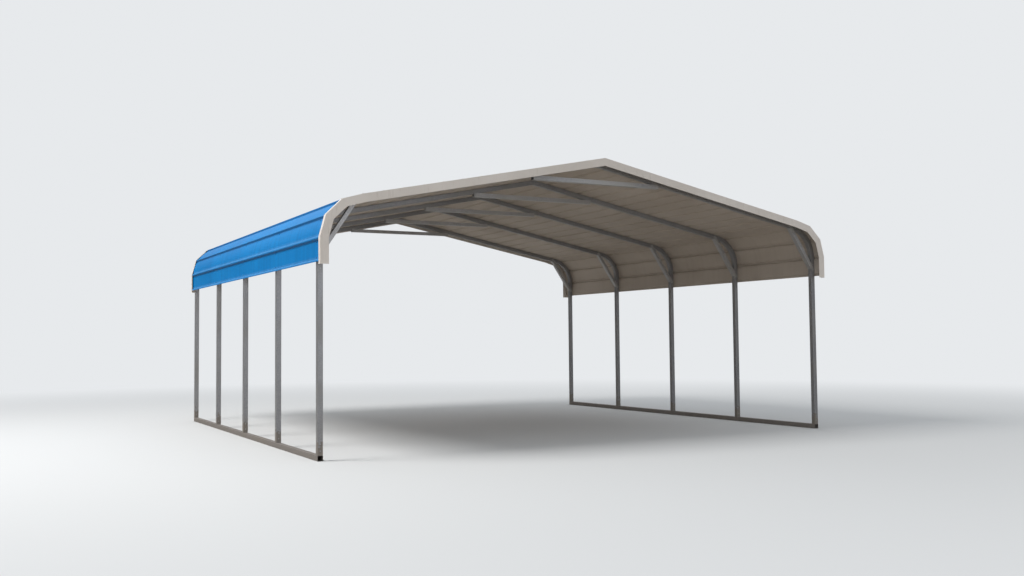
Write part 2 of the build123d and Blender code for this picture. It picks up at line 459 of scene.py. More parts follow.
@dataclass(frozen=True)
class Galvanized:
    """Zinc coat on steel: crystal spangle, dull patches, and soil splashed at the foot."""

    name: str = "galvanized_steel"
    light: Colour = (0.345, 0.35, 0.372)
    dark: Colour = (0.238, 0.243, 0.262)
    dull: Colour = (0.292, 0.29, 0.29)
    soil: Colour = (0.16, 0.13, 0.10)
    metallic: float = 0.5
    spangle: float = 0.006
    spangle_roughness: Pair = (0.30, 0.42)
    spangle_relief: float = 0.00004
    grain: float = 0.0015
    grain_relief: float = 0.00003
    patch: float = 0.35
    patch_edge: Pair = (0.42, 0.68)
    patch_share: float = 0.75
    patch_roughness: float = 0.12
    splash: float = 0.03
    splash_height: float = 0.32
    soil_fade: float = 0.05
    soil_share: float = 0.65
    soil_roughness: float = 0.5

    def build(self) -> Material:
        """Build the material.

        Returns:
            The material with all its nodes.
        """
        nodes = Nodes(bpy.data.materials.new(self.name))
        place = nodes.place()
        crystals = nodes.cells(place, self.spangle)
        patches = nodes.noise(place, self.patch, 4.0)
        grain = nodes.noise(place, self.grain, 2.0)
        zinc = nodes.mix(crystals, self.dark, self.light)
        dulled = nodes.ramp(patches, self.patch_edge, (0.0, self.patch_share))
        splashed = nodes.sum("MULTIPLY", nodes.noise(place, self.splash, 4.0), self.splash_height)
        over_soil = nodes.sum("SUBTRACT", nodes.part(place, "Z"), splashed)
        soiled = nodes.ramp(over_soil, (0.0, self.soil_fade), (self.soil_share, 0.0))
        colour = nodes.mix(soiled, nodes.mix(dulled, zinc, self.dull), self.soil)
        roughness = nodes.ramp(crystals, (0.0, 1.0), self.spangle_roughness)
        dull_roughness = nodes.ramp(patches, self.patch_edge, (0.0, self.patch_roughness))
        roughness = nodes.sum("ADD", roughness, dull_roughness)
        soil_roughness = nodes.sum("MULTIPLY", soiled, self.soil_roughness)
        bare = nodes.sum("SUBTRACT", 1.0, soiled)
        relief = nodes.bump(crystals, self.spangle_relief, nodes.bump(grain, self.grain_relief))
        return nodes.surface(
            {
                "Base Color": colour,
                "Metallic": nodes.sum("MULTIPLY", bare, self.metallic),
                "Roughness": nodes.sum("ADD", roughness, soil_roughness),
                "Normal": relief,
            }
        )


@dataclass(frozen=True)
class SheetPaint:
    """Coil paint on a ribbed sheet, with dust and a painted highlight above each rib, painted shade below
    it, grime streaks and slight waves.

    What repeats along the sheet is given as repeats per metre of length and of girth.
    """

    name: str
    colour: Colour
    faded: Colour
    # Colour of the dust above each rib; where it is paler than the paint it is also a painted highlight
    # along the rib
    dust_and_highlight: Colour
    # Colour of the grime streaks, also used as painted shade in a band below each rib
    grime_and_shade: Colour
    roughness: float
    shine: float
    sheen: Colour
    pitch: float
    rib_base: float
    patch: float = 0.9
    patch_edge: Pair = (0.35, 0.70)
    roughness_edge: Pair = (0.3, 0.7)
    faded_roughness: float = 0.07
    speckle: float = 0.012
    speckle_edge: Pair = (0.30, 0.65)
    speckle_least: float = 0.35
    speckle_relief: float = 0.00001
    # Share and reach of the dust above each rib, partly a painted highlight
    dust_highlight_share: float = 0.35
    dust_highlight_reach: float = 0.03
    grime_share: float = 0.35
    streak_edge: Pair = (0.46, 0.66)
    streak_repeats: Triple = (16.0, 1.2, 1.0)
    fine_repeats: Triple = (90.0, 4.0, 1.0)
    # Share and reach of the painted shade below each rib
    rib_shade_share: float = 0.6
    rib_shade_reach: float = 0.026
    wave: float = 0.0008
    wave_repeats: Triple = (1.1, 3.2, 1.0)

    def dust_and_highlight_amount(self, nodes: Nodes, on_pitch: Socket, speckle: Socket) -> Socket:
        """How much dust lies above each rib; where the dust is paler than the paint, this line is also a
        painted highlight along the rib.

        Args:
            nodes: The nodes of the material.
            on_pitch: The place between two ribs, from 0 to 1 down the girth.
            speckle: The fine noise that breaks it up.

        Returns:
            The share of dust and painted highlight.
        """
        rib_foot = 1 - self.rib_base / self.pitch
        reach = self.dust_highlight_reach / self.pitch
        above_rib = nodes.ramp(on_pitch, (rib_foot - reach, rib_foot), (0.0, 1.0))
        broken = nodes.ramp(speckle, self.speckle_edge, (self.speckle_least, 1.0))
        dust_and_highlight_line = nodes.sum("MULTIPLY", above_rib, broken)
        return nodes.sum("MULTIPLY", dust_and_highlight_line, self.dust_highlight_share)

    def grime_and_shade_share(self, nodes: Nodes, place: Socket, on_pitch: Socket) -> Socket:
        """How much grime lies in streaks down the sheet, and how much painted shade lies in a band below
        each rib.

        Args:
            nodes: The nodes of the material.
            place: The sheet's own map.
            on_pitch: The place between two ribs, from 0 to 1 down the girth.

        Returns:
            The share of grime and painted shade.
        """
        streaks = nodes.noise(nodes.stretch(place, self.streak_repeats), 1.0)
        fine = nodes.noise(nodes.stretch(place, self.fine_repeats), 1.0, 5.0)
        runs = nodes.sum("MULTIPLY", nodes.ramp(streaks, self.streak_edge, (0.0, 1.0)), fine)
        # Painted shade: darkens the rib's lower flank and the pan just below it
        foot, reach = self.rib_base / self.pitch, self.rib_shade_reach / self.pitch
        flank = nodes.ramp(on_pitch, (0.0, foot / 2), (0.0, self.rib_shade_share))
        shade_below_rib = nodes.ramp(on_pitch, (foot, foot + reach), (1.0, 0.0))
        rib_shade_band = nodes.sum("MULTIPLY", flank, shade_below_rib)
        return nodes.sum("MAXIMUM", nodes.sum("MULTIPLY", runs, self.grime_share), rib_shade_band)

    def build(self) -> Material:
        """Build the material.

        Returns:
            The material with all its nodes.
        """
        nodes = Nodes(bpy.data.materials.new(self.name))
        place = nodes.girth_map()
        on_pitch = nodes.sum("FRACT", nodes.sum("DIVIDE", nodes.part(place, "Y"), self.pitch))
        patches = nodes.noise(place, self.patch, 4.0)
        speckle = nodes.noise(place, self.speckle)
        faded = nodes.ramp(patches, self.patch_edge, (0.0, 1.0))
        # Dust above each rib, which where it is paler than the paint is also a painted highlight
        dust_and_highlight_amount = self.dust_and_highlight_amount(nodes, on_pitch, speckle)
        paint = nodes.mix(dust_and_highlight_amount, nodes.mix(faded, self.colour, self.faded), self.dust_and_highlight)
        faded_roughness = self.roughness + self.faded_roughness
        roughness = nodes.ramp(patches, self.roughness_edge, (self.roughness, faded_roughness))
        waves = nodes.noise(nodes.stretch(place, self.wave_repeats), 1.0, 1.0)
        # The base colour takes grime streaks and a band of painted shade below each rib
        return nodes.surface(
            {
                "Base Color": nodes.mix(self.grime_and_shade_share(nodes, place, on_pitch), paint, self.grime_and_shade),
                "Roughness": nodes.sum("ADD", roughness, dust_and_highlight_amount),
                "Specular IOR Level": self.shine,
                "Specular Tint": (*self.sheen, 1.0),
                "Normal": nodes.bump(speckle, self.speckle_relief, nodes.bump(waves, self.wave)),
            }
        )


@dataclass(frozen=True)
class TrimPaint:
    """Off-white paint on the trims, with faint dirt runs and a slight orange peel."""

    name: str = "trim_paint"
    colour: Colour = (0.65, 0.61, 0.58)
    faded: Colour = (0.59, 0.55, 0.515)
    dirt: Colour = (0.30, 0.27, 0.23)
    roughness: float = 0.38
    patch: float = 0.5
    patch_edge: Pair = (0.35, 0.70)
    roughness_edge: Pair = (0.3, 0.7)
    faded_roughness: float = 0.08
    run_repeats: Triple = (45.0, 45.0, 5.0)
    run_edge: Pair = (0.55, 0.80)
    dirt_share: float = 0.30
    peel: float = 0.004
    peel_relief: float = 0.00003

    def build(self) -> Material:
        """Build the material.

        Returns:
            The material with all its nodes.
        """
        nodes = Nodes(bpy.data.materials.new(self.name))
        place = nodes.place()
        patches = nodes.noise(place, self.patch, 4.0)
        runs = nodes.noise(nodes.stretch(place, self.run_repeats), 1.0)
        peel = nodes.noise(place, self.peel, 2.0)
        faded = nodes.ramp(patches, self.patch_edge, (0.0, 1.0))
        dirty = nodes.ramp(runs, self.run_edge, (0.0, self.dirt_share))
        faded_roughness = self.roughness + self.faded_roughness
        roughness = nodes.ramp(patches, self.roughness_edge, (self.roughness, faded_roughness))
        return nodes.surface(
            {
                "Base Color": nodes.mix(dirty, nodes.mix(faded, self.colour, self.faded), self.dirt),
                "Roughness": nodes.sum("ADD", dirty, roughness),
                "Normal": nodes.bump(peel, self.peel_relief),
            }
        )


@dataclass(frozen=True)
class SmallPartFinish:
    """Finish of screw heads and washers, slightly mottled."""

    name: str
    colour: Colour
    worn: Colour
    metallic: float
    roughness: float
    mottle: float = 0.002
    worn_edge: Pair = (0.45, 0.70)
    roughness_edge: Pair = (0.3, 0.7)
    worn_roughness: float = 0.12
    relief: float = 0.00003

    def build(self) -> Material:
        """Build the material.

        Returns:
            The material with all its nodes.
        """
        nodes = Nodes(bpy.data.materials.new(self.name))
        mottle = nodes.noise(nodes.place(), self.mottle)
        worn = nodes.ramp(mottle, self.worn_edge, (0.0, 1.0))
        worn_roughness = self.roughness + self.worn_roughness
        return nodes.surface(
            {
                "Base Color": nodes.mix(worn, self.colour, self.worn),
                "Metallic": self.metallic,
                "Roughness": nodes.ramp(mottle, self.roughness_edge, (self.roughness, worn_roughness)),
                "Normal": nodes.bump(mottle, self.relief),
            }
        )


# The girth line that bows, sheets, trims and screws share


@dataclass(frozen=True)
class RoofLine:
    """The inner pan of the sheets, measured along the girth from the ridge to the eave.

    The base and the top of a rib are given as half its width there.
    """

    tube: float
    leg_x: float
    joint_height: float
    bow_tail: float = 0.192
    bend_radius: float = 0.395
    slope: float = math.radians(11.3)
    seat_gap: float = 0.0003
    rib_pitch: float = 0.2286
    rib_height: float = 0.019
    rib_base: float = 0.022
    rib_top: float = 0.008
    side_pitches: int = 17

    @property
    def bend_start(self) -> float:
        """Height at which the eave curve starts."""
        return self.joint_height + self.bow_tail

    @property
    def bend_x(self) -> float:
        """X of the middle of the eave curve."""
        return self.leg_x - self.bend_radius

    @property
    def pan_radius(self) -> float:
        """Radius of the pan on the eave curve."""
        return self.bend_radius + self.tube / 2 + self.seat_gap

    @property
    def slope_girth(self) -> float:
        """Girth at which the slope ends and the curve starts."""
        return (self.bend_x + self.pan_radius * math.sin(self.slope)) / math.cos(self.slope)

    @property
    def side_girth(self) -> float:
        """Girth at which the curve ends and the upright side starts."""
        return self.slope_girth + self.pan_radius * (math.pi / 2 - self.slope)

    @property
    def ridge_height(self) -> float:
        """Height of the pan's line at the ridge."""
        rise = self.slope_girth * math.sin(self.slope)
        return self.bend_start + self.pan_radius * math.cos(self.slope) + rise

    @property
    def peak_height(self) -> float:
        """Height of the tube's middle line at the peak."""
        corner = self.bend_start + self.bend_radius * math.tan((math.pi / 2 - self.slope) / 2)
        return corner + self.leg_x * math.tan(self.slope)

    @property
    def underside_peak(self) -> float:
        """Height of the underside of the bows at the peak."""
        return self.peak_height - self.tube / 2 / math.cos(self.slope)

    def turn(self, girth: float) -> float:
        """Angle from level by which the pan is turned down at a girth."""
        on_curve = min(max(girth, self.slope_girth), self.side_girth) - self.slope_girth
        return self.slope + on_curve / self.pan_radius

    def point(self, side: int, girth: float, height: float) -> Place:
        """A point over the pan, as X and Z.

        Args:
            side: -1 on the left and 1 on the right.
            girth: Its girth from the ridge.
            height: Its height above the pan.

        Returns:
            The point's X and Z.
        """
        if girth <= self.slope_girth:
            x = girth * math.cos(self.slope) + height * math.sin(self.slope)
            z = self.ridge_height - girth * math.sin(self.slope) + height * math.cos(self.slope)
        elif girth <= self.side_girth:
            turn = self.turn(girth)
            x = self.bend_x + (self.pan_radius + height) * math.sin(turn)
            z = self.bend_start + (self.pan_radius + height) * math.cos(turn)
        else:
            x = self.bend_x + self.pan_radius + height
            z = self.bend_start - (girth - self.side_girth)
        return side * x, z

    def outward(self, side: int, girth: float) -> Vector:
        """The direction away from the pan at a girth."""
        turn = self.turn(girth)
        return Vector((side * math.sin(turn), 0, math.cos(turn)))

    def girth_at(self, x: float, z: float) -> float:
        """The girth of a point near the sheets.

        Args:
            x: The point's X.
            z: The point's Z.

        Returns:
            Its girth from the ridge.
        """
        across, up = abs(x) - self.bend_x, z - self.bend_start
        if up <= 0:
            return self.side_girth - up
        turn = math.atan2(across, up)
        if turn >= self.slope:
            return self.slope_girth + (turn - self.slope) * self.pan_radius
        along = across * math.cos(self.slope) - up * math.sin(self.slope)
        return self.slope_girth + along


def read_roof_line() -> RoofLine:
    """Read the roof's line from the tube and the legs as they were packed."""
    low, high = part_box("leg_right_1")
    return RoofLine(tube=high.x - low.x, leg_x=(low.x + high.x) / 2, joint_height=high.z)


def bow_places() -> list[float]:
    """Places of the bows along the length, from the front."""
    return [sum(corner.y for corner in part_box(f"leg_left_{number}")) / 2 for number in range(1, 6)]


# Sub-assemblies


@dataclass
class TubeFrame:
    """Base rails, legs and half bows of square tube with rounded edges."""

    roof: RoofLine
    bows: list[float]
    finish: Material
    wall: float = 0.0027
    corner: float = 0.0045
    corner_steps: int = 4
    bend_steps: int = 24
    end_rounding: float = 0.0004

    def ring(
        self, name: str, place: Sequence[float], turn: Sequence[float] = (0.0, 0.0, 0.0)
    ) -> Piece:
        """Start a tube as the ring of its rounded section.

        Args:
            name: The piece's name.
            place: Middle of the section.
            turn: Its turn from level.

        Returns:
            The object with that ring of edges.
        """
        piece = add_plane(name, self.roof.tube, place, turn)
        with editing(piece):
            pick_all()
            bpy.ops.mesh.bevel(offset=self.corner, segments=self.corner_steps, affect="VERTICES")
            pick_all()
            bpy.ops.mesh.delete(type="ONLY_FACE")
        return piece

    def hollow_out(self, piece: Piece) -> None:
        """Give a tube's outer skin its wall and its eased ends.

        Args:
            piece: The tube's skin.
        """
        with editing(piece):
            pick_all()
            bpy.ops.mesh.normals_make_consistent(inside=False)
        give_wall(piece, self.wall)
        round_folds(piece, self.end_rounding)
        smooth(piece)

    def base_rails(self) -> None:
        """Model the rails that lie on the ground under the legs."""
        low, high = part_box("base_rail_left")
        middle = (low + high) / 2
        left = self.ring("left_base_rail", (middle.x, low.y, middle.z), (math.pi / 2, 0, 0))
        with editing(left):
            pick_all()
            extrude((0, high.y - low.y, 0))
        self.hollow_out(left)
        right = copy_to(left, "right_base_rail", (-2 * middle.x, 0, 0))
        dress(left, [self.finish], ["base_rail_left"])
        dress(right, [self.finish], ["base_rail_right"])

    def legs(self) -> None:
        """Model the legs, from the rails up to the bows."""
        low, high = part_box("leg_left_1")
        model = self.ring("leg", (0, 0, low.z))
        with editing(model):
            pick_all()
            extrude((0, 0, high.z - low.z))
        self.hollow_out(model)
        for side in Side:
            label = side.name.lower()
            for number, bow_y in enumerate(self.bows, start=1):
                leg = copy_to(model, f"{label}_leg_{number}", (side.value * self.roof.leg_x, bow_y, 0))
                dress(leg, [self.finish], [f"leg_{label}_{number}"])
        bpy.data.objects.remove(model)

    def half_bows(self, side: Side) -> None:
        """Model the half bows of one side: a straight tail, the eave curve and the rafter.

        Args:
            side: The side of the carport.
        """
        roof, sign, label = self.roof, side.value, side.name.lower()
        model = self.ring("half_bow", (sign * roof.leg_x, 0, roof.joint_height))
        past_ridge = roof.slope_girth + roof.tube
        with editing(model):
            pick_all()
            extrude((0, 0, roof.bow_tail))
            bpy.ops.mesh.spin(
                steps=self.bend_steps,
                angle=sign * (math.pi / 2 - roof.slope),
                center=(sign * roof.bend_x, 0, roof.bend_start),
                axis=(0, 1, 0),
            )
            extrude((-sign * past_ridge * math.cos(roof.slope), 0, past_ridge * math.sin(roof.slope)))
            pick_all()
            bpy.ops.mesh.bisect(plane_co=(0, 0, 0), plane_no=(sign, 0, 0), clear_inner=True)
            pick_all()
            bpy.ops.mesh.remove_doubles(threshold=NEAR)
        self.hollow_out(model)
        for number, bow_y in enumerate(self.bows, start=1):
            half_bow = copy_to(model, f"{label}_half_bow_{number}", (0, bow_y, 0))
            dress(half_bow, [self.finish], [f"half_bow_{label}_{number}"])
        bpy.data.objects.remove(model)

    def build(self) -> None:
        """Model all tubes of the frame."""
        self.base_rails()
        self.legs()
        for side in Side:
            self.half_bows(side)


@dataclass
class Braces:
    """Folded channels, whose webs end on the tubes while their flanges lap beside them."""

    roof: RoofLine
    bows: list[float]
    finish: Material
    wall: float = 0.0019
    clearance: float = 0.0003
    corner: float = 0.003
    corner_steps: int = 3
    knee_depth: float = 0.044
    knee_drop: float = 0.152
    knee_past: float = 0.060
    knee_lap: float = 0.036
    peak_depth: float = 0.050
    peak_drop: float = 0.206
    peak_lap: float = 0.016
    edge_rounding: float = 0.0004

    @property
    def width(self) -> float:
        """Width over the flanges."""
        return self.roof.tube + 2 * (self.clearance + self.wall)

    def knee_ends(self) -> tuple[Vector, Vector]:
        """Where the line of a right knee brace's web meets the leg and the rafter.

        Returns:
            X and Z of its lower and its upper end.
        """
        roof = self.roof
        foot = Vector((roof.leg_x - roof.tube / 2, roof.bend_start - self.knee_drop))
        inner_radius = roof.bend_radius - roof.tube / 2
        head_x = roof.bend_x + inner_radius * math.sin(roof.slope) - self.knee_past
        return foot, Vector((head_x, roof.underside_peak - head_x * math.tan(roof.slope)))

    def channel(self, name: str, start: Place, end: Place, opening: Vector) -> Piece:
        """Fold one channel from a strip, across the middle of the carport.

        Args:
            name: Its name.
            start: X and Z of one end of its web's outer face.
            end: X and Z of the other end.
            opening: How far and which way its flanges stand.

        Returns:
            The channel's outer skin, with its faces outward.
        """
        edge_y = self.width / 2
        piece = start_edge(name, start, self.width)
        with editing(piece):
            pick_all()
            extrude((end[0] - start[0], 0, end[1] - start[1]))
            for sign in (-1, 1):
                pick(piece, lambda at: at.y * sign > edge_y - NEAR)
                extrude(opening)
            pick_all()
            bpy.ops.mesh.normals_make_consistent(inside=False)
        corner = Vector((start[0], 0, start[1]))
        with editing(piece, Element.EDGE):
            pick(
                piece,
                lambda one, two: abs(one.y - two.y) < NEAR
                and abs((one - corner).dot(opening)) + abs((two - corner).dot(opening)) < NEAR,
                Element.EDGE,
            )
            bpy.ops.mesh.bevel(offset=self.corner, segments=self.corner_steps, affect="EDGES")
        middle = Vector(((start[0] + end[0]) / 2, 0, (start[1] + end[1]) / 2))
        face_away_from(piece, middle + opening)
        return piece

    def cut_web(self, piece: Piece, place: Vector, outward: Vector) -> None:
        """Cut a channel's web and folds off at a plane, with its flanges left whole.

        Args:
            piece: The channel's skin.
            place: A place on the plane.
            outward: The plane's direction, towards what is cut off.
        """
        flange_y = self.width / 2 - NEAR
        with editing(piece, Element.FACE):
            pick(piece, lambda at: abs(at.y) < flange_y, Element.FACE)
            bpy.ops.mesh.bisect(plane_co=place, plane_no=outward)
            pick(
                piece,
                lambda at: abs(at.y) < flange_y and (at - place).dot(outward) > 0,
                Element.FACE,
            )
            bpy.ops.mesh.delete(type="FACE")

    def finish_set(self, name: str, model: Piece, node: str) -> None:
        """Give a channel its wall and edges, and copy it to every bow.

        Args:
            name: The name of the joined piece.
            model: The channel's skin.
            node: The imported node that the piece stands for.
        """
        give_wall(model, self.wall)
        round_folds(model, self.edge_rounding)
        copies = [copy_to(model, f"{name}_{number}", (0, y, 0)) for number, y in enumerate(self.bows)]
        bpy.data.objects.remove(model)
        piece = join(name, copies)
        smooth(piece)
        dress(piece, [self.finish], [node])

    def knee_braces(self, side: Side) -> None:
        """Fold the knee braces of one side.

        Args:
            side: The side of the carport.
        """
        roof, sign, label = self.roof, side.value, side.name.lower()
        foot, head = self.knee_ends()
        along = (head - foot).normalized()
        start, end = foot - along * self.knee_lap, head + along * self.knee_lap
        opening = Vector((sign * along.y, 0, -along.x)) * self.knee_depth
        model = self.channel("knee_brace", (sign * start.x, start.y), (sign * end.x, end.y), opening)
        leg_face = Vector((sign * (foot.x - self.clearance), 0, 0))
        soffit = Vector((0, 0, roof.underside_peak - self.clearance / math.cos(roof.slope)))
        self.cut_web(model, leg_face, Vector((sign, 0, 0)))
        self.cut_web(model, soffit, Vector((sign * math.sin(roof.slope), 0, math.cos(roof.slope))))
        self.finish_set(f"{label}_knee_braces", model, f"knee_braces_{label}")

    def peak_braces(self) -> None:
        """Fold the level braces under the peak."""
        reach = (self.peak_drop - self.peak_depth + self.peak_lap) / math.tan(self.roof.slope)
        height = self.roof.underside_peak - self.peak_drop
        opening = Vector((0, 0, self.peak_depth))
        model = self.channel("peak_brace", (-reach, height), (reach, height), opening)
        self.finish_set("level_peak_braces", model, "peak_braces")

    def build(self) -> None:
        """Fold all braces."""
        for side in Side:
            self.knee_braces(side)
        self.peak_braces()


@dataclass
class HiddenSleeves:
    """Nipples and sleeves inside the tubes, which keep their solids."""

    finish: Material
    nodes: tuple[str, ...] = (
        "leg_nipples_left",
        "leg_nipples_right",
        "bow_sleeves_left",
        "bow_sleeves_right",
        "peak_sleeves",
    )

    def build(self) -> None:
        """Give each set of sleeves the zinc finish."""
        for node in self.nodes:
            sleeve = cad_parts[node]
            sleeve.data.materials.clear()
            sleeve.data.materials.append(self.finish)
            log.info("%s: kept", node)


@dataclass
class RibbedRoof:
    """Ribbed sheets folded along the girth line, blue outside and primed underneath."""

    roof: RoofLine
    paint: Material
    primer: Material
    thickness: float = 0.0004
    lap_clearance: float = 0.0003
    lap_leg_height: float = 0.009
    ridge_pitches: int = 2
    side_sheets: int = 4
    curve_step: float = 0.03
    fold_radius: float = 0.0013
    fold_angle: float = 20.0
    smooth_angle: float = 40.0
    least_outward: float = 0.05
    half_length: float = field(init=False)

    def __post_init__(self) -> None:
        """Read the length of the sheets from the frame."""
        self.half_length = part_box("ridge_sheet")[1].y

    @property
    def flank(self) -> float:
        """Angle of a rib's flank from the pan."""
        return math.atan2(self.roof.rib_height, self.roof.rib_base - self.roof.rib_top)

    @property
    def laps(self) -> list[int]:
        """Numbers of the lap ribs, from the ridge sheet's edge down to the lowest rib."""
        share = (self.roof.side_pitches - self.ridge_pitches) / self.side_sheets
        return [self.ridge_pitches + math.ceil(step * share) for step in range(self.side_sheets + 1)]

    def rib(self, centre: float, base: float, top: float, height: float) -> list[Place]:
        """The corners of a rib, as girth and height."""
        return [(centre - base, 0), (centre - top, height), (centre + top, height), (centre + base, 0)]

    def full_rib(self, centre: float) -> list[Place]:
        """The corners of a rib at its full height."""
        return self.rib(centre, self.roof.rib_base, self.roof.rib_top, self.roof.rib_height)

    def ribs_between(self, first: int, last: int) -> list[Place]:
        """The corners of all ribs between two lap ribs.

        Args:
            first: Number of the upper lap rib.
            last: Number of the lower lap rib.

        Returns:
            The corners, as girth and height.
        """
        line: list[Place] = []
        for number in range(first + 1, last):
            line += self.full_rib(number * self.roof.rib_pitch)
        return line

    def covered_rib(self, centre: float) -> list[Place]:
        """The upper edge of a sheet, a smaller rib under the sheet above.

        Args:
            centre: Girth of the rib's middle.

        Returns:
            Its corners, as girth and height.
        """
        inset = self.thickness + self.lap_clearance
        base = self.roof.rib_base - inset / math.sin(self.flank)
        top = self.roof.rib_top - inset * math.tan(self.flank / 2)
        cut = base - self.lap_leg_height / math.tan(self.flank)
        corners = self.rib(centre, base, top, self.roof.rib_height - inset)
        return [(centre - cut, self.lap_leg_height)] + corners[1:]

    def covering_rib(self, centre: float) -> list[Place]:
        """The lower edge of a sheet, a full rib over the sheet below.

        Args:
            centre: Girth of the rib's middle.

        Returns:
            Its corners, as girth and height.
        """
        edge_height = self.thickness + self.lap_clearance
        edge = self.roof.rib_base - edge_height / math.tan(self.flank)
        return self.full_rib(centre)[:3] + [(centre + edge, edge_height)]

    def curved(self, line: list[Place]) -> list[Place]:
        """A girth line with points added so that its level runs roll round the eave.

        Args:
            line: The line's corners, as girth and height.

        Returns:
            The line with the points between.
        """
        start, end = self.roof.slope_girth, self.roof.side_girth
        count = math.ceil((end - start) / self.curve_step)
        stops = [start + (end - start) * step / count for step in range(count + 1)]
        result = line[:1]
        for before, after in zip(line, line[1:]):
            if math.isclose(before[1], after[1], abs_tol=NEAR):
                margin = self.curve_step / 4
                between = [stop for stop in stops if before[0] + margin < stop < after[0] - margin]
                result += [(stop, before[1]) for stop in between]
            result.append(after)
        return result

    def map_girth(self, piece: Piece) -> None:
        """Give a sheet its own map, with the length as U and the girth as V.

        Args:
            piece: The sheet, whose other maps go.
        """
        while piece.data.uv_layers:
            piece.data.uv_layers.remove(piece.data.uv_layers[0])
        layer = piece.data.uv_layers.new(name="GirthMap")
        for loop in piece.data.loops:
            at = piece.data.vertices[loop.vertex_index].co
            layer.data[loop.index].uv = (at.y, self.roof.girth_at(at.x, at.z))

    def paint_outside(self, piece: Piece) -> None:
        """Paint the faces that point away from the pan, and prime the others.

        Args:
            piece: The sheet.
        """
        for face in piece.data.polygons:
            side = 1 if face.center.x > 0 else -1
            outward = self.roof.outward(side, self.roof.girth_at(face.center.x, face.center.z))
            face.material_index = 0 if face.normal.dot(outward) > self.least_outward else 1

    def fold(self, name: str, places: list[Place], node: str) -> None:
        """Fold one sheet from its line and finish it.

        Args:
            name: The piece's name.
            places: X and Z of the points of its inner line.
            node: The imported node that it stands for.
        """
        piece = start_edge(name, places[0], 2 * self.half_length)
        fold_along(piece, places)
        face_away_from(piece, Vector((0, 0, 0)))
        round_folds(piece, self.fold_radius, self.fold_angle)
        with editing(piece):
            pick_all()
            bpy.ops.transform.shrink_fatten(value=self.thickness, use_even_offset=True)
        give_wall(piece, self.thickness)
        smooth(piece, self.smooth_angle)
        self.map_girth(piece)
        self.paint_outside(piece)
        dress(piece, [self.paint, self.primer], [node])

    def build(self) -> None:
        """Fold the side sheets and the ridge sheet."""
        roof = self.roof
        spans = list(zip(self.laps, self.laps[1:]))[::-1]
        for side in Side:
            for number, (upper, lower) in enumerate(spans, start=1):
                line = self.covered_rib(upper * roof.rib_pitch) + self.ribs_between(upper, lower)
                if lower == roof.side_pitches:
                    line += self.full_rib(lower * roof.rib_pitch)[:3]
                else:
                    line += self.covering_rib(lower * roof.rib_pitch)
                places = [roof.point(side.value, *place) for place in self.curved(line)]
                label = side.name.lower()
                self.fold(f"{label}_roof_sheet_{number}", places, f"roof_sheet_{label}_{number}")
        crest = (-roof.rib_height * math.tan(roof.slope), roof.rib_height)
        line = [crest] + self.full_rib(0)[2:] + self.ribs_between(0, self.ridge_pitches)
        line += self.covering_rib(self.ridge_pitches * roof.rib_pitch)
        right = [roof.point(1, *place) for place in line]
        left = [(-x, z) for x, z in right[:0:-1]]
        self.fold("ridge_roof_sheet", left + right, "ridge_sheet")


